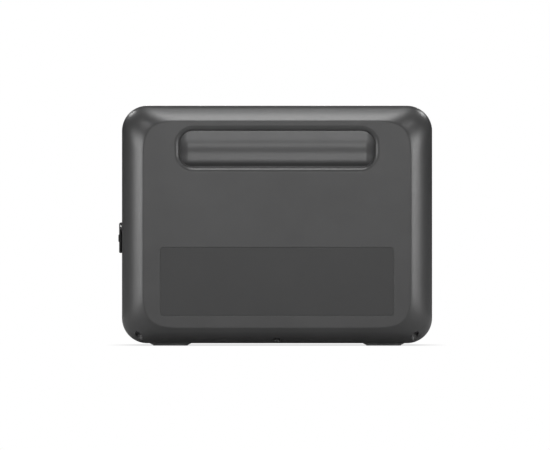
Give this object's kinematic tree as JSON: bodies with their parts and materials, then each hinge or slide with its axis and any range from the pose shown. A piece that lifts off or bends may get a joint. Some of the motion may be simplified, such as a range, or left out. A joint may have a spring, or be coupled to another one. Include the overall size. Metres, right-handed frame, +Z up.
{
  "type": "portable power station",
  "caption": "Box-shaped portable power station with a hand grip in its front and back, a display and outlets in front, and charging inputs behind a side flap.",
  "frame": {"origin": "on the surface the station stands on, under the middle of the case", "axes": "+Z up; the user's side with the display and outlets faces -Y, the plain back faces +Y; the charging inputs are on the +X side"},
  "size_m": [0.3243, 0.217, 0.2475],
  "materials": {
    "case_plastic": "finely textured dark grey moulding",
    "label_film": "matt printed film, left blank",
    "soft_rubber": "matt elastomer",
    "plated_steel": "zinc or nickel plated",
    "fascia_plastic": "black, fine texture",
    "fan_plastic": "black moulding",
    "socket_plastic": "black, satin",
    "key_plastic": "grey, satin",
    "window_glass": "smoked glossy window",
    "cell_wrap": "cell can in a blue film",
    "bare_aluminium": "mill finish",
    "copper": "copper winding",
    "circuit_board": "green solder mask"
  },
  "bodies": {
    "case": {"rear_shell": "case_plastic", "front_shell": "case_plastic", "rear_grip_cup": "case_plastic", "front_grip_cup": "case_plastic", "rating_label": "label_film", "foot_rear_left": "soft_rubber", "foot_rear_right": "soft_rubber", "foot_front_left": "soft_rubber", "foot_front_right": "soft_rubber", "case_screw_rear_left": "plated_steel", "case_screw_rear_middle": "plated_steel", "case_screw_rear_right": "plated_steel", "case_screw_front_left": "plated_steel", "case_screw_front_middle": "plated_steel", "case_screw_front_right": "plated_steel", "vent_grille_left": "fascia_plastic", "vent_grille_right": "fascia_plastic", "fan_frame_left": "fan_plastic", "fan_frame_right": "fan_plastic", "input_bezel": "fascia_plastic", "hinge_pin": "plated_steel", "ac_inlet": "socket_plastic", "solar_inlet": "socket_plastic", "front_fascia": "fascia_plastic", "display_window": "window_glass", "display_module": "circuit_board", "ac_outlet_upper_left": "socket_plastic", "ac_outlet_upper_right": "socket_plastic", "ac_outlet_lower_left": "socket_plastic", "ac_outlet_lower_right": "socket_plastic", "usb_a_upper": "plated_steel", "usb_a_lower": "plated_steel", "usb_c_upper": "plated_steel", "usb_c_lower": "plated_steel", "car_socket": "plated_steel", "car_socket_contact": "copper", "battery_tray": "bare_aluminium", "battery_cell_1": "cell_wrap", "battery_cell_2": "cell_wrap", "battery_cell_3": "cell_wrap", "battery_cell_4": "cell_wrap", "battery_cell_5": "cell_wrap", "battery_cell_6": "cell_wrap", "battery_cell_7": "cell_wrap", "battery_cell_8": "cell_wrap", "battery_management_board": "circuit_board", "inverter_shelf": "bare_aluminium", "inverter_board": "circuit_board", "heat_sink": "bare_aluminium", "power_transformer": "copper", "output_board": "circuit_board"},
    "input_door": {"input_door": "soft_rubber"},
    "car_socket_cap": {"car_socket_cap": "soft_rubber"},
    "power_button": {"power_button": "key_plastic"},
    "dc_button": {"dc_button": "key_plastic"},
    "ac_button": {"ac_button": "key_plastic"},
    "reset_button": {"reset_button": "key_plastic"},
    "fan_rotor_left": {"fan_rotor_left": "fan_plastic"},
    "fan_rotor_right": {"fan_rotor_right": "fan_plastic"}
  },
  "joints": [
    {"name": "input_door_hinge", "type": "hinge", "parent": "case", "child": "input_door", "pos_m": [0.1613, 0.015, 0.1234], "axis": [0, -1, 0], "range_deg": [0, 110]},
    {"name": "car_socket_cap_hinge", "type": "hinge", "parent": "case", "child": "car_socket_cap", "pos_m": [-0.098, -0.1081, 0.098], "axis": [-1, 0, 0], "range_deg": [0, 110]},
    {"name": "power_button_press", "type": "slide", "parent": "case", "child": "power_button", "axis": [0, 1, 0], "range_m": [0, 0.0012], "stiffness_N_per_m": 1500, "springref_m": -0.0004},
    {"name": "dc_button_press", "type": "slide", "parent": "case", "child": "dc_button", "axis": [0, 1, 0], "range_m": [0, 0.0012], "stiffness_N_per_m": 1500, "springref_m": -0.0004},
    {"name": "ac_button_press", "type": "slide", "parent": "case", "child": "ac_button", "axis": [0, 1, 0], "range_m": [0, 0.0012], "stiffness_N_per_m": 1500, "springref_m": -0.0004},
    {"name": "reset_button_press", "type": "slide", "parent": "case", "child": "reset_button", "axis": [-1, 0, 0], "range_m": [0, 0.0015], "stiffness_N_per_m": 2000, "springref_m": -0.0004},
    {"name": "fan_left_spin", "type": "hinge", "parent": "case", "child": "fan_rotor_left", "pos_m": [-0.1492, 0.015, 0.18], "axis": [1, 0, 0], "continuous": true},
    {"name": "fan_right_spin", "type": "hinge", "parent": "case", "child": "fan_rotor_right", "pos_m": [0.1492, 0.015, 0.18], "axis": [1, 0, 0], "continuous": true}
  ]
}
